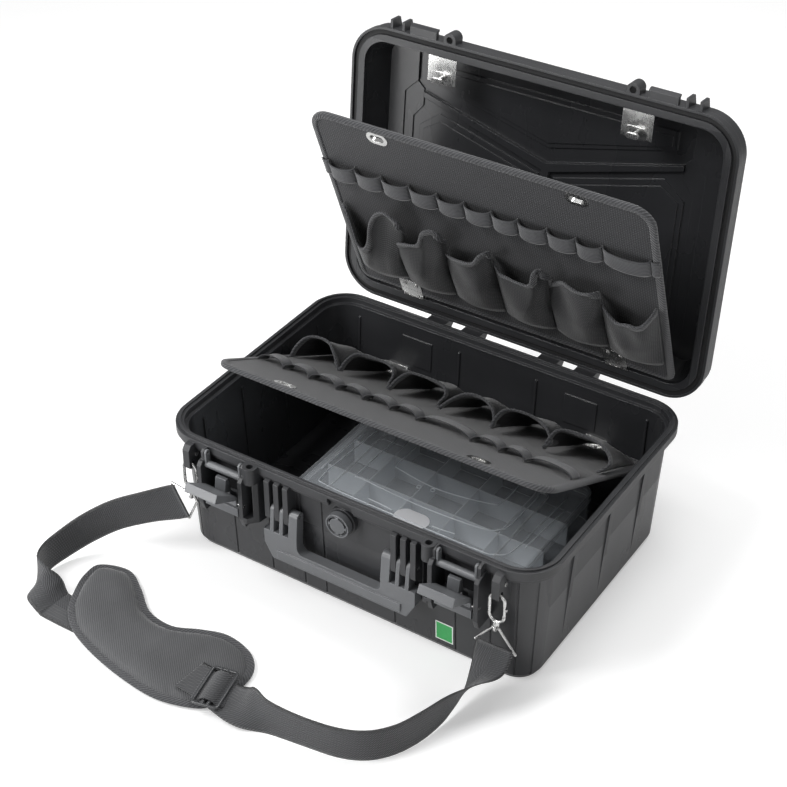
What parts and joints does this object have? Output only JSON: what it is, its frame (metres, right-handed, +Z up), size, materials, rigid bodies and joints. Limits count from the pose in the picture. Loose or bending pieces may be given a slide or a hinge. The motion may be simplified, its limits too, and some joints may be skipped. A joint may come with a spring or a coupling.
{
  "type": "hard tool case",
  "caption": "Hard plastic tool case, open, with hinged lid, latches, fold-down handle, tool panels with pockets and loops, organizer box and shoulder strap.",
  "frame": {"origin": "middle of the underside of the base", "axes": "+X along the front to the right, +Y to the back, +Z up"},
  "size_m": [0.6455, 0.745, 0.5862],
  "materials": {
    "case_plastic": "fine texture outside, smoother inside",
    "fitting_plastic": "satin",
    "steel": "nickel plated",
    "seal_rubber": "matte",
    "panel_cloth": "woven nylon with a slight sheen",
    "binding_tape": "diagonal twill",
    "webbing": "heavy woven webbing",
    "pad_cloth": "ribbed weave",
    "clear_plastic": "frosted translucent",
    "green_label": "plain paper sticker",
    "white_label": "plain paper label"
  },
  "bodies": {
    "case": {"base_shell": "case_plastic", "base_label": "green_label", "hinge_pins": "steel", "valve_body": "fitting_plastic", "valve_seal": "seal_rubber", "handle_pins": "steel", "latch_left_keeper": "fitting_plastic", "latch_right_keeper": "fitting_plastic", "latch_left_pins": "steel", "latch_right_pins": "steel", "base_panel_anchors": "steel", "organizer_tray": "clear_plastic", "organizer_dividers": "clear_plastic", "organizer_pin": "steel", "strap_hook_left": "steel", "strap_hook_right": "steel", "strap_ring_left": "steel", "strap_ring_right": "steel", "strap_webbing_left": "webbing", "strap_webbing_right": "webbing", "strap_pad": "pad_cloth", "lug_screws": "steel"},
    "lid": {"lid_shell": "case_plastic", "lid_gasket": "seal_rubber", "lid_bracket_left": "steel", "lid_bracket_right": "steel", "bracket_rivets": "steel", "lid_panel_anchors": "steel"},
    "lid_panel": {"lid_panel_board": "panel_cloth", "lid_panel_binding": "binding_tape", "lid_panel_pockets": "panel_cloth", "lid_panel_loops": "binding_tape", "lid_panel_eyelets": "steel", "lid_panel_clips": "steel", "lid_panel_rivets": "steel"},
    "base_panel": {"base_panel_board": "panel_cloth", "base_panel_binding": "binding_tape", "base_panel_pockets": "panel_cloth", "base_panel_loops": "binding_tape", "base_panel_eyelets": "steel", "base_panel_clips": "steel", "base_panel_rivets": "steel"},
    "turn_lock_left": {"turn_knob_left": "steel"},
    "turn_lock_right": {"turn_knob_right": "steel"},
    "claw_left": {"latch_left_claw": "fitting_plastic"},
    "claw_right": {"latch_right_claw": "fitting_plastic"},
    "lever_left": {"latch_left_lever": "fitting_plastic"},
    "lever_right": {"latch_right_lever": "fitting_plastic"},
    "carry_handle": {"handle": "fitting_plastic"},
    "valve_knob": {"valve_cap": "fitting_plastic"},
    "gate_left": {"strap_gate_left": "steel"},
    "gate_right": {"strap_gate_right": "steel"},
    "slider": {"strap_slider": "fitting_plastic"},
    "organizer_cover": {"organizer_lid": "clear_plastic", "organizer_label": "white_label"},
    "organizer_snap_left": {"organizer_latch_left": "clear_plastic"},
    "organizer_snap_right": {"organizer_latch_right": "clear_plastic"}
  },
  "joints": [
    {"name": "lid_hinge", "type": "hinge", "parent": "case", "child": "lid", "pos_m": [0, 0.204, 0.174], "axis": [1, 0, 0], "range_deg": [0, 95]},
    {"name": "lid_panel_hinge", "type": "hinge", "parent": "lid", "child": "lid_panel", "pos_m": [0, 0.21924, 0.20479], "axis": [1, 0, 0], "range_deg": [-26.4, 0]},
    {"name": "base_panel_hinge", "type": "hinge", "parent": "case", "child": "base_panel", "pos_m": [0, 0.172, 0.1], "axis": [1, 0, 0], "range_deg": [0, 28]},
    {"name": "turn_lock_left_turn", "type": "hinge", "parent": "lid", "child": "turn_lock_left", "pos_m": [-0.14, 0.25181, 0.52316], "axis": [0, 0.9962, -0.0872], "range_deg": [0, 90]},
    {"name": "claw_left_hinge", "type": "hinge", "parent": "case", "child": "claw_left", "pos_m": [-0.17, -0.2024, 0.1826], "axis": [-1, 0, 0], "range_deg": [0, 180]},
    {"name": "lever_left_hinge", "type": "hinge", "parent": "case", "child": "lever_left", "pos_m": [-0.17, -0.2095, 0.127], "axis": [1, 0, 0], "range_deg": [0, 118]},
    {"name": "gate_left_hinge", "type": "hinge", "parent": "case", "child": "gate_left", "pos_m": [-0.2145, -0.204, 0.1256], "axis": [0, -1, 0], "range_deg": [0, 30], "stiffness_Nm_per_rad": 0.01, "springref_deg": -11.46},
    {"name": "organizer_snap_left_hinge", "type": "hinge", "parent": "case", "child": "organizer_snap_left", "pos_m": [-0.102, -0.1278, 0.0265], "axis": [1, 0, 0], "range_deg": [0, 75]},
    {"name": "turn_lock_right_turn", "type": "hinge", "parent": "lid", "child": "turn_lock_right", "pos_m": [0.14, 0.25181, 0.52316], "axis": [0, 0.9962, -0.0872], "range_deg": [0, 90]},
    {"name": "claw_right_hinge", "type": "hinge", "parent": "case", "child": "claw_right", "pos_m": [0.17, -0.2024, 0.1826], "axis": [-1, 0, 0], "range_deg": [0, 180]},
    {"name": "lever_right_hinge", "type": "hinge", "parent": "case", "child": "lever_right", "pos_m": [0.17, -0.2095, 0.127], "axis": [1, 0, 0], "range_deg": [0, 118]},
    {"name": "gate_right_hinge", "type": "hinge", "parent": "case", "child": "gate_right", "pos_m": [0.2345, -0.204, 0.1256], "axis": [0, -1, 0], "range_deg": [0, 30], "stiffness_Nm_per_rad": 0.01, "springref_deg": -11.46},
    {"name": "organizer_snap_right_hinge", "type": "hinge", "parent": "case", "child": "organizer_snap_right", "pos_m": [0.118, -0.1278, 0.0265], "axis": [1, 0, 0], "range_deg": [0, 75]},
    {"name": "handle_hinge", "type": "hinge", "parent": "case", "child": "carry_handle", "pos_m": [0, -0.193, 0.131], "axis": [-1, 0, 0], "range_deg": [0, 95]},
    {"name": "valve_turn", "type": "hinge", "parent": "case", "child": "valve_knob", "pos_m": [0, -0.192, 0.1525], "axis": [0, 1, 0], "range_deg": [0, 120]},
    {"name": "organizer_lid_hinge", "type": "hinge", "parent": "case", "child": "organizer_cover", "pos_m": [0.008, 0.141, 0.0495], "axis": [-1, 0, 0], "range_deg": [0, 6]},
    {"name": "slider_slide", "type": "slide", "parent": "case", "child": "slider", "axis": [-1, 0, 0], "range_m": [0, 0.02]}
  ],
  "couplings": [
    {"joint": "lid_panel_hinge", "follows": "lid_hinge", "ratio": -0.2778},
    {"joint": "base_panel_hinge", "follows": "lid_hinge", "ratio": 0.2947}
  ]
}
